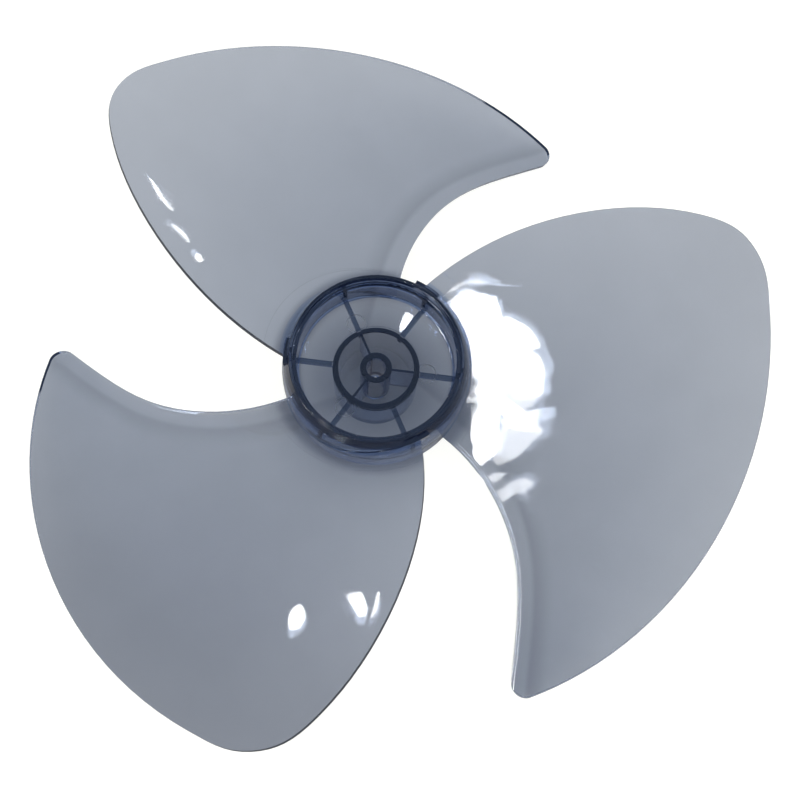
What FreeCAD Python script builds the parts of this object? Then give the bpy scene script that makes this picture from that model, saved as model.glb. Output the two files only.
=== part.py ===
import FreeCAD, Part
import math
import os
from FreeCAD import Vector

# Three-leaf fan blade, injection-moulded in one piece from clear tinted plastic.
# Millimetres and degrees. The Z axis is the motor shaft, +Z the side the air is blown to.
# The origin is the middle of the boss's front end, where the cap nut seats.
# +X runs along the first stiffening rib behind the web.

LEAF_COUNT = 3

# Boss with the shaft bore, and the slot in its rear end for the shaft's cross pin
SHAFT_DIAMETER = 8.0
SHAFT_CLEARANCE = 0.02
BOSS_RADIUS = 6.5
BOSS_STANDOUT = 2.0
PIN_SLOT_WIDTH = 2.6
PIN_SLOT_DEPTH = 3.0

# Tube around the boss, closed at its rear end, with ribs to the boss
TUBE_OUTER_RADIUS = 17.8
TUBE_WALL = 2.4
TUBE_LENGTH = 24.0
TUBE_FLOOR = 3.4
TUBE_LIP = 0.5
BOSS_RIB_THICKNESS = 1.0
BOSS_RIB_SETBACK = 0.3

# Web, and the round-shouldered skirt that carries the leaves
SKIRT_RADIUS = 38.2
SKIRT_WALL = 2.2
SKIRT_DEPTH = 12.2
CORE_WIDTH = 2.2
CORE_TOP_WIDTH = 0.9
RECESS_CORNER = 1.0
LEDGE_WIDTH = 1.45
RIM_HEIGHT = 14.6
RIM_LIP_WIDTH = 1.55
RIM_LIP_HEIGHT = 2.4
RIM_ROUNDING = 0.5
WEB_THICKNESS = 2.6
WEB_RIB_COUNT = 6
WEB_RIB_THICKNESS = 1.9
WEB_RIB_HEIGHT = 2.4
GATE_MARK_RADIUS = 3.9
GATE_MARK_DEPTH = 0.3
GATE_MARK_OFFSET = 2.8

# Leaf height over its datum line, as slopes and bends at a point along that line
LEAF_DATUM_ANGLE = 3.7
LEAF_ROOT_THICKNESS = 2.4
LEAF_TIP_THICKNESS = 1.6
LEAF_MIDDLE = 95.0
LEAF_HEIGHT = 12.8
RAKE_ANGLE = 9.9
PITCH_ANGLE = 21.2
CAMBER_RADIUS = 515.0
DROOP_RADIUS = 925.0
TWIST_LENGTH = 3570.0

# Leaf outline seen along the shaft: share of the span from root to tip, and angle from the datum line
TIP_RADIUS = 149.6
ROOT_DEPTH = 5.2
ROOT_OVERLAP = 1.1
TRAILING_EDGE_ANGLES = [(0.0, 63.4), (0.263, 47.9), (0.569, 35.1),
                        (0.856, 24.3), (0.937, 20.5), (0.985, 15.9)]
TIP_START_ANGLE = (1.0, 8.0)
TIP_MIDDLE_ANGLE = (0.988, -23.0)
TIP_CORNER_ANGLE = (0.928, -64.6)
LEADING_EDGE_ANGLES = [(0.717, -57.8), (0.527, -50.2), (0.312, -43.4), (0.0, -41.5)]
TIP_ROUNDING = 5.5

# Block on the shoulder beside each leaf's trailing root, by its angles from the datum line
BLOCK_START_ANGLE = 50.0
BLOCK_END_ANGLE = 67.0
BLOCK_INSET = 1.4
BLOCK_HEIGHT = 6.6
BLOCK_BELOW_RIM = 2.0

BORE_RADIUS = SHAFT_DIAMETER / 2 + SHAFT_CLEARANCE
TUBE_INNER_RADIUS = TUBE_OUTER_RADIUS - TUBE_WALL
TUBE_FLOOR_Z = TUBE_FLOOR - TUBE_LENGTH
BOSS_LENGTH = TUBE_LENGTH + BOSS_STANDOUT
RECESS_RADIUS = SKIRT_RADIUS - 2 * SKIRT_WALL - CORE_WIDTH
LIP_RADIUS = RECESS_RADIUS + LEDGE_WIDTH
LEDGE_Z = RIM_HEIGHT - RIM_LIP_HEIGHT
ROUNDING_RADIUS = LIP_RADIUS + RIM_LIP_WIDTH - RIM_ROUNDING
ROUNDING_Z = RIM_HEIGHT - RIM_ROUNDING
SHOULDER_Z = ROUNDING_Z - math.sqrt((SKIRT_RADIUS - RIM_ROUNDING) ** 2 - ROUNDING_RADIUS ** 2)
ROOT_RADIUS = SKIRT_RADIUS - ROOT_DEPTH
RAKE_SLOPE = math.tan(math.radians(RAKE_ANGLE))
PITCH_SLOPE = math.tan(math.radians(PITCH_ANGLE))
AXIS = Vector(0, 0, 1)
ORIGIN = Vector(0, 0, 0)
LEAF_CENTRE = Vector(LEAF_MIDDLE, 0, LEAF_HEIGHT)
LEAF_NORMAL = Vector(-RAKE_SLOPE, -PITCH_SLOPE, 1).normalize()
SAME_PLACE = 0.001


def turned(shape, angle):
    copy = shape.copy()
    copy.rotate(ORIGIN, AXIS, angle)
    return copy


def around(shape, count, start=0.0):
    """Copies of a shape, evenly spaced around the axis."""
    return [turned(shape, start + 360.0 * i / count) for i in range(count)]


def chain(points):
    """Straight profile edges through points given as radius and height."""
    corners = [Vector(r, 0, z) for r, z in points]
    return [Part.makeLine(a, b) for a, b in zip(corners, corners[1:])]


def arc(*points):
    return Part.Arc(*[Vector(r, 0, z) for r, z in points]).toShape()


def revolved(edges):
    face = Part.Face(Part.Wire(Part.__sortEdges__(edges)))
    return face.revolve(ORIGIN, AXIS, 360)


def shoulder_radius(radius, z):
    """Radius at a height on the round shoulder, or on a surface parallel to it."""
    return math.sqrt(radius ** 2 - (z - SHOULDER_Z) ** 2)


def shoulder_arc(radius, top):
    middle = (top + SHOULDER_Z) / 2
    return arc((radius, SHOULDER_Z), (shoulder_radius(radius, middle), middle),
               (shoulder_radius(radius, top), top))


def rim_rounding():
    """Start, middle and end of the arc from the shoulder to the rim's flat top."""
    lean = math.atan2(ROUNDING_RADIUS, ROUNDING_Z - SHOULDER_Z)
    return [(ROUNDING_RADIUS + RIM_ROUNDING * math.sin(turn), ROUNDING_Z + RIM_ROUNDING * math.cos(turn))
            for turn in (lean, lean / 2, 0)]


def rounded_circles(solid, radius, circles):
    """Rounds the circular edges that lie at the given radii and heights."""
    edges = []
    for edge in solid.Edges:
        point = edge.Vertexes[0].Point
        reach = math.hypot(point.x, point.y)
        if any(math.hypot(reach - r, point.z - z) < SAME_PLACE for r, z in circles):
            if edge.Curve.TypeId == "Part::GeomCircle" and edge.BoundBox.ZLength < SAME_PLACE:
                edges.append(edge)
    return solid.makeFillet(radius, edges)


def hub_blank():
    """The hub's outer form: skirt with round shoulder, rim, front recess, tube and boss rear ends."""
    shoulder_top, rim_bend, rim_edge = rim_rounding()
    bend = RECESS_CORNER * (1 - math.sqrt(0.5))
    corner_start = (RECESS_RADIUS - RECESS_CORNER, 0)
    corner_middle = (RECESS_RADIUS - bend, bend)
    corner_end = (RECESS_RADIUS, RECESS_CORNER)
    front = [(0, TUBE_LIP), (TUBE_OUTER_RADIUS, TUBE_LIP), (TUBE_OUTER_RADIUS, 0), corner_start]
    rim = [corner_end, (RECESS_RADIUS, LEDGE_Z), (LIP_RADIUS, LEDGE_Z), (LIP_RADIUS, RIM_HEIGHT), rim_edge]
    rear = [(SKIRT_RADIUS, SHOULDER_Z), (SKIRT_RADIUS, -SKIRT_DEPTH),
            (TUBE_OUTER_RADIUS, -SKIRT_DEPTH), (TUBE_OUTER_RADIUS, -TUBE_LENGTH),
            (BOSS_RADIUS, -TUBE_LENGTH), (BOSS_RADIUS, -BOSS_LENGTH), (0, -BOSS_LENGTH), (0, TUBE_LIP)]
    edges = chain(front) + chain(rim) + chain(rear)
    edges.append(arc(corner_start, corner_middle, corner_end))
    edges.append(shoulder_arc(SKIRT_RADIUS, shoulder_top[1]))
    edges.append(arc(shoulder_top, rim_bend, rim_edge))
    corners = [(LIP_RADIUS, RIM_HEIGHT), (RECESS_RADIUS, LEDGE_Z)]
    return rounded_circles(revolved(edges), RIM_ROUNDING, corners)


def ribs(count, thickness, outer, low, high):
    """Radial ribs as slabs from the axis outwards, evenly spaced from +X."""
    slab = Part.makeBox(outer, thickness, high - low, Vector(0, -thickness / 2, low))
    slabs = around(slab, count)
    return slabs[0].fuse(slabs[1:])


def rear_cavity():
    """The space behind the web, cored up into the rim so that the skirt keeps one wall thickness."""
    inner_radius = SKIRT_RADIUS - SKIRT_WALL
    recess_back = RECESS_RADIUS + SKIRT_WALL
    core_radius = recess_back + CORE_TOP_WIDTH
    core_top = SHOULDER_Z + math.sqrt(inner_radius ** 2 - core_radius ** 2)
    outline = [(core_radius, core_top), (recess_back, core_top), (recess_back, -WEB_THICKNESS),
               (TUBE_OUTER_RADIUS, -WEB_THICKNESS), (TUBE_OUTER_RADIUS, -SKIRT_DEPTH),
               (inner_radius, -SKIRT_DEPTH), (inner_radius, SHOULDER_Z)]
    cavity = revolved(chain(outline) + [shoulder_arc(inner_radius, core_top)])
    low = -WEB_THICKNESS - WEB_RIB_HEIGHT
    return cavity.cut(ribs(WEB_RIB_COUNT, WEB_RIB_THICKNESS, SKIRT_RADIUS, low, RIM_HEIGHT))


def boss_pocket():
    """The ring-shaped pocket between boss and tube, open to the front, less the ribs left standing in it."""
    outline = [(BOSS_RADIUS, TUBE_LIP), (TUBE_INNER_RADIUS, TUBE_LIP), (TUBE_INNER_RADIUS, TUBE_FLOOR_Z),
               (BOSS_RADIUS, TUBE_FLOOR_Z), (BOSS_RADIUS, TUBE_LIP)]
    boss_ribs = ribs(LEAF_COUNT, BOSS_RIB_THICKNESS, TUBE_OUTER_RADIUS, TUBE_FLOOR_Z, -BOSS_RIB_SETBACK)
    return revolved(chain(outline)).cut(boss_ribs)


def shaft_bore():
    """The bore, the step down to the boss's front end, and the cross-pin slot."""
    outline = [(0, -BOSS_LENGTH), (BORE_RADIUS, -BOSS_LENGTH), (BORE_RADIUS, 0), (BOSS_RADIUS, 0),
               (BOSS_RADIUS, TUBE_LIP), (0, TUBE_LIP), (0, -BOSS_LENGTH)]
    slot = Part.makeBox(2 * BOSS_RADIUS, PIN_SLOT_WIDTH, PIN_SLOT_DEPTH,
                        Vector(-BOSS_RADIUS, -PIN_SLOT_WIDTH / 2, -BOSS_LENGTH))
    return revolved(chain(outline)).fuse(slot)


def gate_marks():
    """Shallow round marks in the web's front, one on each rib that lines up with a rib of the boss."""
    centre = TUBE_OUTER_RADIUS + GATE_MARK_OFFSET
    mark = Part.makeCylinder(GATE_MARK_RADIUS, GATE_MARK_DEPTH, Vector(centre, 0, -GATE_MARK_DEPTH))
    tube_end = Part.makeCylinder(TUBE_OUTER_RADIUS, GATE_MARK_DEPTH, Vector(0, 0, -GATE_MARK_DEPTH))
    marks = around(mark.cut(tube_end), LEAF_COUNT)
    return marks[0].fuse(marks[1:])


def root_core():
    """What leaves and blocks are trimmed with: the hub's form, a little inside its outer face."""
    radius = SKIRT_RADIUS - ROOT_OVERLAP
    ball = Part.makeSphere(radius, Vector(0, 0, SHOULDER_Z))
    barrel = Part.makeCylinder(radius, TIP_RADIUS, Vector(0, 0, SHOULDER_Z - TIP_RADIUS))
    return ball.fuse(barrel)


def root_block():
    low = RIM_HEIGHT - BLOCK_BELOW_RIM - BLOCK_HEIGHT
    sector = Part.makeCylinder(SKIRT_RADIUS - BLOCK_INSET, BLOCK_HEIGHT, Vector(0, 0, low), AXIS,
                               BLOCK_END_ANGLE - BLOCK_START_ANGLE)
    return turned(sector, BLOCK_START_ANGLE).cut(root_core())


def leaf_height(x_pair, y_pair):
    """Height of a control point of the leaf's middle surface, from its pair of places each way."""
    along = [x - LEAF_MIDDLE for x in x_pair]
    slope = RAKE_SLOPE * sum(along) / 2 + PITCH_SLOPE * sum(y_pair) / 2
    bend = y_pair[0] * y_pair[1] / (2 * CAMBER_RADIUS) - along[0] * along[1] / (2 * DROOP_RADIUS)
    twist = sum(along) * sum(y_pair) / (4 * TWIST_LENGTH)
    return LEAF_HEIGHT + slope + bend - twist


def outline_point(share, angle):
    """A place on the edge of the leaf's middle surface, moved square onto the leaf's plane."""
    radius = ROOT_RADIUS + share * (TIP_RADIUS - ROOT_RADIUS)
    turn = math.radians(angle)
    x = radius * math.cos(turn)
    y = radius * math.sin(turn)
    edge = Vector(x, y, leaf_height((x, x), (y, y)))
    return edge - LEAF_NORMAL * (edge - LEAF_CENTRE).dot(LEAF_NORMAL)


def leaf_outline():
    """Convex trailing edge running round into the tip arc, a sharp leading tip, a hollow leading edge."""
    tip_points = [TIP_START_ANGLE, TIP_MIDDLE_ANGLE, TIP_CORNER_ANGLE]
    tip = Part.Arc(*[outline_point(*point) for point in tip_points])
    trailing_points = [outline_point(*point) for point in TRAILING_EDGE_ANGLES + [TIP_START_ANGLE]]
    inner_points = len(trailing_points) - 2
    into_tip = tip.tangent(tip.FirstParameter)[0]
    off_hub = trailing_points[1] - trailing_points[0]
    trailing = Part.BSplineCurve()
    trailing.interpolate(Points=trailing_points, Tangents=[off_hub] + [ORIGIN] * inner_points + [into_tip],
                         TangentFlags=[False] + [False] * inner_points + [True])
    leading_points = [outline_point(*point) for point in [TIP_CORNER_ANGLE] + LEADING_EDGE_ANGLES]
    leading = Part.BSplineCurve()
    leading.interpolate(leading_points)
    root = Part.makeLine(leading_points[-1], trailing_points[0])
    return Part.Face(Part.Wire([trailing.toShape(), tip.toShape(), leading.toShape(), root]))


def half_thickness(x):
    """Half the leaf's wall, measured along Z, tapering from root to tip."""
    share = (x - ROOT_RADIUS) / (TIP_RADIUS - ROOT_RADIUS)
    wall = LEAF_ROOT_THICKNESS + share * (LEAF_TIP_THICKNESS - LEAF_ROOT_THICKNESS)
    return wall / 2 / math.cos(math.radians(PITCH_ANGLE))


def leaf_skin(side):
    """Front (1) or rear (-1) skin of the leaf, as a larger patch; nine control points hold it exactly."""
    ends_x = (0.0, 2 * LEAF_MIDDLE)
    ends_y = (-TIP_RADIUS, TIP_RADIUS)
    patch = Part.BezierSurface()
    patch.increase(2, 2)
    for i in range(3):
        x_pair = (ends_x[i > 1], ends_x[i > 0])
        x = sum(x_pair) / 2
        for j in range(3):
            y_pair = (ends_y[j > 1], ends_y[j > 0])
            z = leaf_height(x_pair, y_pair) + side * half_thickness(x)
            patch.setPole(i + 1, j + 1, Vector(x, sum(y_pair) / 2, z))
    return patch.toShape()


def leaf():
    """One leaf: the plate between its two skins, cut to the outline and trimmed to sit in the skirt."""
    front = leaf_skin(1)
    rear = leaf_skin(-1)
    sides = [Part.makeRuledSurface(a, b) for a, b in zip(front.Edges, rear.Edges)]
    slab = Part.makeSolid(Part.Shell([front, rear] + sides))
    outline = leaf_outline()
    outline.translate(LEAF_NORMAL * -LEAF_MIDDLE)
    prism = outline.extrude(LEAF_NORMAL * 2 * LEAF_MIDDLE)
    corner = outline_point(*TIP_CORNER_ANGLE)
    tip_edges = [edge for edge in prism.Edges
                 if all((v.Point - corner).cross(LEAF_NORMAL).Length < SAME_PLACE for v in edge.Vertexes)]
    prism = prism.makeFillet(TIP_ROUNDING, tip_edges)
    return prism.common(slab).cut(root_core())


def fan_blade():
    hub = hub_blank().cut(rear_cavity()).cut(boss_pocket()).cut(shaft_bore()).cut(gate_marks())
    leaves = around(leaf(), LEAF_COUNT, LEAF_DATUM_ANGLE)
    blocks = around(root_block(), LEAF_COUNT, LEAF_DATUM_ANGLE)
    return hub.fuse(leaves + blocks).removeSplitter()


os.makedirs("parts", exist_ok=True)
fan_blade().Solids[0].exportStep("parts/fan_blade.step")
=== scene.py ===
import math

import bmesh
import bpy
from mathutils import Matrix, Vector


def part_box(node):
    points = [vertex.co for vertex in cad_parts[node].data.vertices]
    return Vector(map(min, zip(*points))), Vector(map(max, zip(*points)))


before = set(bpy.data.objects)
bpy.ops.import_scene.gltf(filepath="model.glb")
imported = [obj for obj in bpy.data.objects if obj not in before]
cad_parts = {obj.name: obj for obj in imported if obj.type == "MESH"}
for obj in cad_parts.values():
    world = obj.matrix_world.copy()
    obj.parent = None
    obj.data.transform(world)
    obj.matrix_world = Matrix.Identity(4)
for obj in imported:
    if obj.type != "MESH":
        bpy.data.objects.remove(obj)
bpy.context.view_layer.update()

# Fan blade: hub and leaves are one injection moulding in clear styrene plastic with a smoky
# blue-grey dye. Thin walls let much of the light through, and walls seen edge-on look navy.
# The mould is polished, apart from the parting line that leaves the trailing edges matt.
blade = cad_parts["fan_blade"]
tinted = bpy.data.materials.new("smoky_clear_plastic")
tinted.use_nodes = True
nodes = tinted.node_tree.nodes
links = tinted.node_tree.links
plastic = nodes["Principled BSDF"]
plastic.inputs["IOR"].default_value = 1.52
plastic.inputs["Transmission Weight"].default_value = 1.0


def math_node(operation, *values):
    """The result of a Math node; each value is a number or an output, and one at least is an output."""
    tree = next(value.id_data for value in values if isinstance(value, bpy.types.NodeSocket))
    node = tree.nodes.new("ShaderNodeMath")
    node.operation = operation
    for socket, value in zip(node.inputs, values):
        if isinstance(value, bpy.types.NodeSocket):
            tree.links.new(value, socket)
        else:
            socket.default_value = value
    return node.outputs["Value"]


def product(first, *others):
    """All the values multiplied together."""
    result = first
    for value in others:
        result = math_node("MULTIPLY", result, value)
    return result


def ramp(value, start, end, low, high, interpolation="SMOOTHSTEP"):
    """Rise from low to high while value goes from start to end."""
    tree = value.id_data
    node = tree.nodes.new("ShaderNodeMapRange")
    node.interpolation_type = interpolation
    tree.links.new(value, node.inputs["Value"])
    for socket, number in zip(("From Min", "From Max", "To Min", "To Max"), (start, end, low, high)):
        node.inputs[socket].default_value = number
    return node.outputs["Result"]


# Flow of the melt: a slow waviness of the skin, faint clouds in the tint, a little less polish in places
wave_height = 0.00004
polish_range = (0.35, 0.75)
best_polish = 0.012
least_polish = 0.035
cloud_range = (0.30, 0.70)
darkest_cloud = 0.97
place = nodes.new("ShaderNodeTexCoord")
flow = nodes.new("ShaderNodeTexNoise")
flow.inputs["Scale"].default_value = 34.0
flow.inputs["Detail"].default_value = 2.0
links.new(place.outputs["Object"], flow.inputs["Vector"])
polish = ramp(flow.outputs["Fac"], *polish_range, best_polish, least_polish)
cloud = ramp(flow.outputs["Fac"], *cloud_range, darkest_cloud, 1.0)
waves = product(flow.outputs["Fac"], wave_height)

# Leading edge: its angle from the leaf's middle line, in degrees, at shares of the leaf's span
leaf_root = 0.033
leaf_span = 0.1166
leaf_turn = math.radians(3.7)
leaf_spacing = math.radians(120.0)
edge_margin = math.radians(10.0)
right_angle = 90.0
edge_angles = ((0.0, 41.2), (0.116, 40.6), (0.232, 42.0), (0.347, 44.8), (0.463, 48.3), (0.579, 52.6),
               (0.695, 57.2), (0.810, 61.4), (0.888, 63.9), (1.0, 66.5))
spot = nodes.new("ShaderNodeSeparateXYZ")
links.new(place.outputs["Object"], spot.inputs["Vector"])
x = spot.outputs["X"]
y = spot.outputs["Y"]
z = spot.outputs["Z"]


def distance(x_offset, y_offset):
    """How far a place with these offsets is from the middle."""
    return math_node("SQRT", math_node("ADD", product(x_offset, x_offset), product(y_offset, y_offset)))


reach = distance(x, y)
bearing = math_node("ARCTAN2", y, x)
sweep = nodes.new("ShaderNodeFloatCurve")
curve = sweep.mapping.curves[0]
curve.points[0].location = (edge_angles[0][0], edge_angles[0][1] / right_angle)
curve.points[1].location = (edge_angles[-1][0], edge_angles[-1][1] / right_angle)
for share, angle in edge_angles[1:-1]:
    curve.points.new(share, angle / right_angle)
sweep.mapping.update()
links.new(math_node("DIVIDE", math_node("SUBTRACT", reach, leaf_root), leaf_span), sweep.inputs["Value"])
edge_turn = product(sweep.outputs["Value"], math.radians(right_angle))
from_middle = math_node("SUBTRACT", bearing, leaf_turn)
turned_in = math_node("ADD", math_node("ADD", from_middle, edge_turn), edge_margin)
past_edge = math_node("SUBTRACT", math_node("FLOORED_MODULO", turned_in, leaf_spacing), edge_margin)
depth = product(past_edge, reach)

# Bead and step: the leading edge is rounded, and along it on the plate runs a soft step whose shade is
# painted as a darker band
bead_start = 0.0004
bead_end = 0.0024
bead_height = 0.0005
step_start = 0.0065
step_end = 0.0095
step_fade = 0.019
step_shade = 0.18
leaf_start = 0.045
on_leaf = math_node("GREATER_THAN", reach, leaf_start)
bead = product(ramp(depth, bead_start, bead_end, 0.0, bead_height), on_leaf)
relief = nodes.new("ShaderNodeBump")
relief.inputs["Strength"].default_value = 1.0
relief.inputs["Distance"].default_value = 1.0
links.new(math_node("ADD", bead, waves), relief.inputs["Height"])
links.new(relief.outputs["Normal"], plastic.inputs["Normal"])
# Painted shade: a darker band in the plate's colour along the step
step = product(ramp(depth, step_start, step_end, 0.0, 1.0), ramp(depth, step_start, step_fade, 1.0, 0.0))
shade = product(cloud, math_node("SUBTRACT", 1.0, product(step, step_shade)))

# Parting line: the narrow wall along the trailing edge looks up past the leaf; it is matt, and its colour is
# painted dark as painted shade
wall_low = 0.20
wall_high = 0.60
wall_matt = 0.4
wall_shade_colour = (0.10, 0.12, 0.15)
trailing_turn = math.radians(76.0)
facing = nodes.new("ShaderNodeSeparateXYZ")
links.new(place.outputs["Normal"], facing.inputs["Vector"])


def between(value, low, high):
    """One where the value lies between low and high, otherwise nought."""
    return product(math_node("GREATER_THAN", value, low), math_node("LESS_THAN", value, high))


def blend(factor, first, second):
    """The first colour where the factor is nought and the second where it is one."""
    tree = factor.id_data
    node = tree.nodes.new("ShaderNodeMix")
    node.data_type = "RGBA"
    tree.links.new(factor, node.inputs["Factor"])
    for socket, colour in ((node.inputs["A"], first), (node.inputs["B"], second)):
        if isinstance(colour, bpy.types.NodeSocket):
            tree.links.new(colour, socket)
        else:
            socket.default_value = (*colour, 1.0)
    return node.outputs["Result"]


trailing = math_node("GREATER_THAN", past_edge, trailing_turn)
wall = product(between(facing.outputs["Z"], wall_low, wall_high), on_leaf, trailing)
# Painted shade: the trailing-edge wall is coloured dark
painted_wall_shade = blend(wall, shade, wall_shade_colour)
wall_dull = math_node("MULTIPLY_ADD", wall, wall_matt, polish)

# Gate marks: the rim of each of the three round marks in the web's front is dull
mark_reach = 0.0206
mark_radius = 0.0039
mark_rim = 0.0005
mark_matt = 0.35
web_front = 0.0
front_margin = 0.0004


def from_nearest(angle, spacing):
    """The angle measured from the nearest of the features that stand in a ring, the first at nought."""
    turned = math_node("FLOORED_MODULO", math_node("ADD", angle, spacing / 2), spacing)
    return math_node("SUBTRACT", turned, spacing / 2)


mark_angle = from_nearest(bearing, leaf_spacing)
mark_x = math_node("SUBTRACT", product(math_node("COSINE", mark_angle), reach), mark_reach)
mark_y = product(math_node("SINE", mark_angle), reach)
rim_offset = math_node("ABSOLUTE", math_node("SUBTRACT", distance(mark_x, mark_y), mark_radius))
at_front = math_node("COMPARE", z, web_front, front_margin)
mark = product(ramp(rim_offset, 0.0, mark_rim, 1.0, 0.0), at_front)
links.new(math_node("MULTIPLY_ADD", mark, mark_matt, wall_dull), plastic.inputs["Roughness"])

# Ribs: behind the web they end in an edge whose colour is painted dark, as painted shade
rib_spacing = math.radians(60.0)
rib_half_width = 0.0011
rib_inner = 0.0182
rib_outer = 0.0345
rib_shade_colour = (0.10, 0.14, 0.22)
web_rear = -0.0028
rib_offset = product(from_nearest(bearing, rib_spacing), reach)
behind_web = math_node("LESS_THAN", z, web_rear)
rib = product(between(reach, rib_inner, rib_outer), behind_web,
              between(rib_offset, -rib_half_width, rib_half_width))
# Painted shade on the ribs' rear edges
painted_rib_shade = blend(rib, painted_wall_shade, rib_shade_colour)

# Shoulder: the rounded outside of the hub is painted a little darker and bluer, as painted shade
shoulder_inner = 0.0345
shoulder_outer = 0.0384
shoulder_shade_colour = (0.68, 0.79, 0.98)
painted_shoulder_shade = blend(between(reach, shoulder_inner, shoulder_outer), painted_rib_shade, shoulder_shade_colour)
links.new(painted_shoulder_shade, plastic.inputs["Base Color"])

# Dye: absorbs along the way through the wall, so thick places are darker than thin ones.
# A trace of blue glow stands for the light that it scatters.
dye = nodes.new("ShaderNodeVolumeAbsorption")
dye.inputs["Color"].default_value = (0.41, 0.48, 0.60, 1.0)
dye.inputs["Density"].default_value = 400.0
links.new(dye.outputs["Volume"], nodes["Material Output"].inputs["Volume"])
plastic.inputs["Emission Color"].default_value = (0.0022, 0.0038, 0.0095, 1.0)
plastic.inputs["Emission Strength"].default_value = 1.0
blade.data.materials.clear()
blade.data.materials.append(tinted)

# Floor: a pale table that the blade lies on, resting on its leading tips. It is white where the camera
# sees it directly. Through the plastic it is dimmer, with a painted shadow under the hub, a painted shadow
# ring where the skirt would shade it, and painted light that falls off towards the front and the right.
floor_size = 6.0
open_glow = 0.86
hub_glow = 0.12
leaf_glow = 0.40
hub_shade_start = 0.012
hub_shade_end = 0.060
front_lean = 0.4
front_end = -0.18
front_start = -0.02
front_share = 0.35
right_lean = -1.2
left_end = -0.10
right_end = 0.08
left_share = 1.02
right_share = 0.75
skirt_shift = 0.008
ring_inner = (0.031, 0.037)
ring_outer = (0.0435, 0.049)
ring_share = 0.25
sheet = bmesh.new()
floor_place = Matrix.Translation((0.0, 0.0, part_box("fan_blade")[0].z))
bmesh.ops.create_grid(sheet, x_segments=1, y_segments=1, size=floor_size / 2, matrix=floor_place)
floor_mesh = bpy.data.meshes.new("floor")
sheet.to_mesh(floor_mesh)
sheet.free()
floor = bpy.data.objects.new("floor", floor_mesh)
bpy.context.scene.collection.objects.link(floor)
paper = bpy.data.materials.new("pale_floor")
paper.use_nodes = True
paper_nodes = paper.node_tree.nodes
paper_links = paper.node_tree.links
table = paper_nodes["Principled BSDF"]
table.inputs["Base Color"].default_value = (0.30, 0.30, 0.30, 1.0)
table.inputs["Roughness"].default_value = 0.9
table.inputs["Specular IOR Level"].default_value = 0.0
table.inputs["Emission Color"].default_value = (1.0, 1.0, 0.95, 1.0)
paper_place = paper_nodes.new("ShaderNodeTexCoord")
paper_spot = paper_nodes.new("ShaderNodeSeparateXYZ")
paper_links.new(paper_place.outputs["Object"], paper_spot.inputs["Vector"])
paper_x = paper_spot.outputs["X"]
paper_y = paper_spot.outputs["Y"]
# Painted shadow under the hub, and painted light falling off towards the front and the right
hub_shade = ramp(distance(paper_x, paper_y), hub_shade_start, hub_shade_end, hub_glow, leaf_glow)
front_shade = ramp(math_node("MULTIPLY_ADD", paper_x, front_lean, paper_y),
                   front_end, front_start, front_share, 1.0)
right_shade = ramp(math_node("MULTIPLY_ADD", paper_y, right_lean, paper_x),
                   left_end, right_end, left_share, right_share)
# Painted shadow: a ring where the skirt shades the table
ring_reach = distance(paper_x, math_node("SUBTRACT", paper_y, skirt_shift))
ring_shade = math_node("MAXIMUM", ramp(ring_reach, *ring_inner, 1.0, ring_share),
                       ramp(ring_reach, *ring_outer, ring_share, 1.0))
seen = paper_nodes.new("ShaderNodeLightPath")
glow = paper_nodes.new("ShaderNodeMix")
glow.inputs["B"].default_value = open_glow
paper_links.new(product(hub_shade, front_shade, right_shade, ring_shade), glow.inputs["A"])
paper_links.new(seen.outputs["Is Camera Ray"], glow.inputs["Factor"])
paper_links.new(glow.outputs["Result"], table.inputs["Emission Strength"])
floor.data.materials.append(paper)

# Camera: in front of the hub, set off towards the lower edge of the picture and tilted to face the hub.
camera_place = Vector((0.0065, -0.1069, 0.3388))
camera_turn = math.radians(7.04)
camera_tilt = math.radians(15.69)
camera_roll = math.radians(0.60)
lens_data = bpy.data.cameras.new("camera")
lens_data.lens = 39.35
lens_data.sensor_width = 36.0
lens_data.shift_x = 0.0395
lens_data.shift_y = -0.00575
camera = bpy.data.objects.new("camera", lens_data)
bpy.context.scene.collection.objects.link(camera)
right = Vector((math.cos(camera_roll), 0.0, math.sin(camera_roll)))
back = Vector((-math.cos(camera_tilt) * math.sin(camera_roll), -math.sin(camera_tilt),
               math.cos(camera_tilt) * math.cos(camera_roll)))
up = back.cross(right)
aim = Matrix.Rotation(camera_turn, 3, "Z") @ Matrix((right, up, back)).transposed()
camera.matrix_world = Matrix.Translation(camera_place) @ aim.to_4x4()
bpy.context.scene.camera = camera

# Surround: white to the camera and as light on dull surfaces. Mirrored in the plastic or seen through
# it, it is a dim room, blue-grey around and a deeper blue overhead.
room_sides = (0.45, 0.52, 0.66)
room_top = (0.36, 0.48, 0.70)
white_light = (1.0, 1.0, 1.0)
sides_height = 0.15
top_height = 0.55
surround = bpy.data.worlds.new("surround")
surround.use_nodes = True
sky_nodes = surround.node_tree.nodes
sky_links = surround.node_tree.links
direction = sky_nodes.new("ShaderNodeTexCoord")
height = sky_nodes.new("ShaderNodeSeparateXYZ")
sky_links.new(direction.outputs["Generated"], height.inputs["Vector"])
overhead = ramp(height.outputs["Z"], sides_height, top_height, 0.0, 1.0, "LINEAR")
ray = sky_nodes.new("ShaderNodeLightPath")
plain_ray = math_node("MAXIMUM", ray.outputs["Is Camera Ray"], ray.outputs["Diffuse Depth"])
light = blend(plain_ray, blend(overhead, room_sides, room_top), white_light)
sky_links.new(light, sky_nodes["Background"].inputs["Color"])
bpy.context.scene.world = surround
bpy.context.scene.view_settings.view_transform = "Standard"

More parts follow.
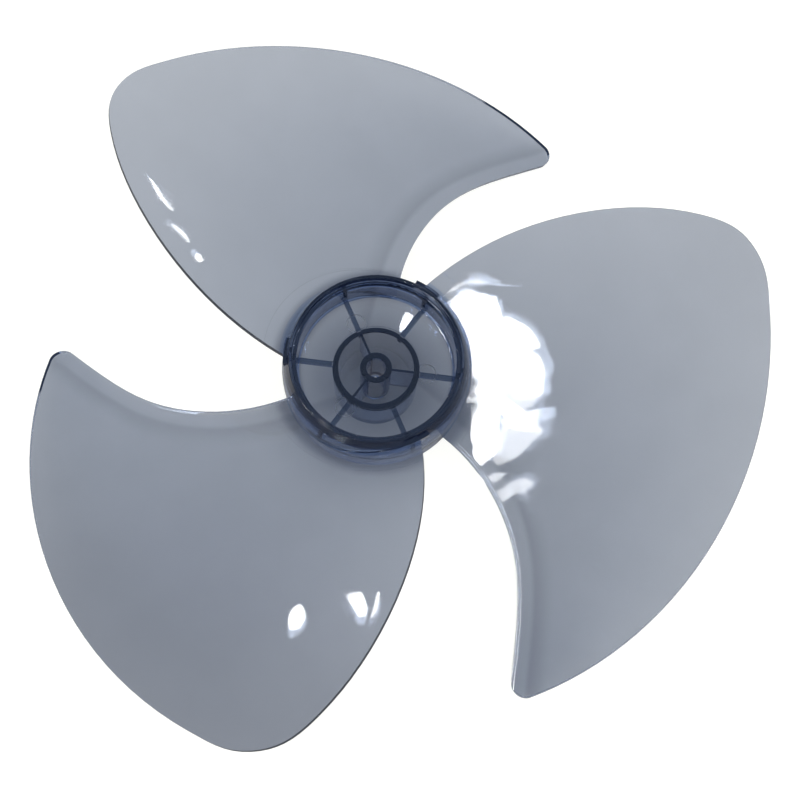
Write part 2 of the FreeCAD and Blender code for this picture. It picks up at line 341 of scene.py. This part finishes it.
# Lamps: a window beside the camera and small ceiling lamps, seen only as glints in the plastic.
# Each has its place, the spot that it glints in, the direction of its length, its size and its brightness.
lamps = (
    ("window", (-0.186, -0.429, 0.874), (0.048, 0.014, 0.008), (0.96, 0.01, 0.26), 0.215, 0.032, 20),
    ("window_left", (-0.214, -0.451, 0.858), (0.048, -0.022, -0.006), (0.90, 0.20, 0.38), 0.066, 0.018, 20),
    ("window_right", (-0.148, -0.445, 0.878), (0.060, -0.022, -0.004), (0.92, 0.22, 0.33), 0.125, 0.017, 8),
    ("edge_strip", (-0.594, -0.520, 0.580), (0.066, -0.080, -0.020), (-0.36, 0.84, 0.40), 0.700, 0.240, 20),
    ("web_strip", (0.023, 0.386, 0.933), (0.010, 0.024, 0.0), (-0.38, -0.86, 0.34), 0.058, 0.014, 20),
    ("leaf_strip_1", (0.092, 0.302, 0.283), (-0.091, 0.050, 0.033), (0.80, -0.60, 0.01), 0.043, 0.002, 20),
    ("leaf_strip_2", (0.122, 0.266, 0.283), (-0.083, 0.033, 0.031), (0.78, -0.63, -0.05), 0.027, 0.002, 20),
    ("leaf_strip_3", (0.146, 0.244, 0.280), (-0.075, 0.026, 0.028), (0.77, -0.63, -0.13), 0.010, 0.004, 20),
    ("leaf_spot_1", (-0.252, 0.118, 0.261), (-0.014, -0.104, 0.028), (-0.46, -0.83, 0.32), 0.026, 0.005, 20),
    ("leaf_spot_2", (-0.218, 0.149, 0.255), (0.006, -0.096, 0.032), (0.37, 0.79, -0.49), 0.022, 0.008, 20),
    ("leaf_spot_3", (-0.207, 0.151, 0.257), (0.014, -0.097, 0.035), (-0.51, -0.78, 0.36), 0.027, 0.002, 20),
)
for name, lamp_place, target, run, length, width, brightness in lamps:
    lamp = bpy.data.lights.new(name, "AREA")
    lamp.shape = "ELLIPSE"
    lamp.size = length
    lamp.size_y = width
    lamp.energy = math.pi * length * width * brightness
    holder = bpy.data.objects.new(name, lamp)
    bpy.context.scene.collection.objects.link(holder)
    holder.visible_camera = False
    holder.visible_diffuse = False
    away = (Vector(lamp_place) - Vector(target)).normalized()
    across = away.cross(Vector(run)).normalized()
    along = across.cross(away)
    lamp_turn = Matrix((along, across, away)).transposed()
    holder.matrix_world = Matrix.Translation(lamp_place) @ lamp_turn.to_4x4()
